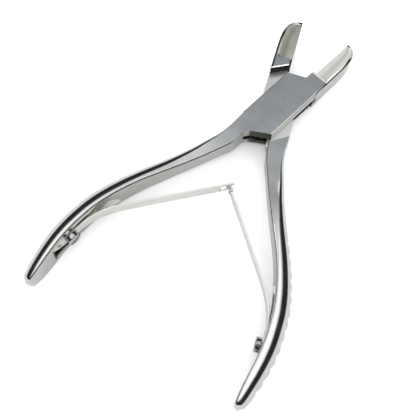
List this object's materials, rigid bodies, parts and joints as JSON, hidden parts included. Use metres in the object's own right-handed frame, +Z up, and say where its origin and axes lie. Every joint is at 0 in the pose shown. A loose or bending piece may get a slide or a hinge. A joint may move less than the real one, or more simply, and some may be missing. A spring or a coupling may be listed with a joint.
{
  "type": "box-joint nippers",
  "caption": "Box-joint nippers with short hollow-ground jaws, bowed ribbed handles and a pair of meeting leaf springs that hold them open.",
  "frame": {"origin": "the pivot axis, on the flat underside of the box", "axes": "+Y toward the jaws along the line halfway between the two halves, +Z up along the pivot axis, +X toward the tang half's handle"},
  "size_m": [0.0964, 0.1579, 0.0134],
  "materials": {
    "forged_steel": "polished, with satin flats",
    "spring_steel": "fine satin",
    "screw_steel": "polished"
  },
  "bodies": {
    "box_body": {"box_half": "forged_steel", "pivot_pin": "forged_steel", "left_spring_screw": "screw_steel", "left_locating_pin": "screw_steel"},
    "tang_body": {"tang_half": "forged_steel", "right_spring_screw": "screw_steel", "right_locating_pin": "screw_steel"},
    "left_leaf_body": {"left_leaf_spring": "spring_steel"},
    "right_leaf_body": {"right_leaf_spring": "spring_steel"}
  },
  "joints": [
    {"name": "pivot", "type": "hinge", "parent": "box_body", "child": "tang_body", "pos_m": [0, 0, 0], "axis": [0, 0, 1], "range_deg": [-28, 0], "stiffness_Nm_per_rad": 2.5, "springref_deg": 5.73, "deforming": ["left_leaf_spring", "right_leaf_spring"]},
    {"name": "left_leaf_flex", "type": "hinge", "parent": "box_body", "child": "left_leaf_body", "pos_m": [-0.03923, -0.08226, 0.0045], "axis": [0, 0, 1], "range_deg": [0, 11.4], "deforming": ["left_leaf_spring"]},
    {"name": "right_leaf_flex", "type": "hinge", "parent": "tang_body", "child": "right_leaf_body", "pos_m": [0.03923, -0.08226, 0.0045], "axis": [0, 0, 1], "range_deg": [-11.4, 0], "deforming": ["right_leaf_spring"]}
  ],
  "couplings": [
    {"joint": "left_leaf_flex", "follows": "pivot", "ratio": -0.406},
    {"joint": "right_leaf_flex", "follows": "pivot", "ratio": 0.406}
  ]
}
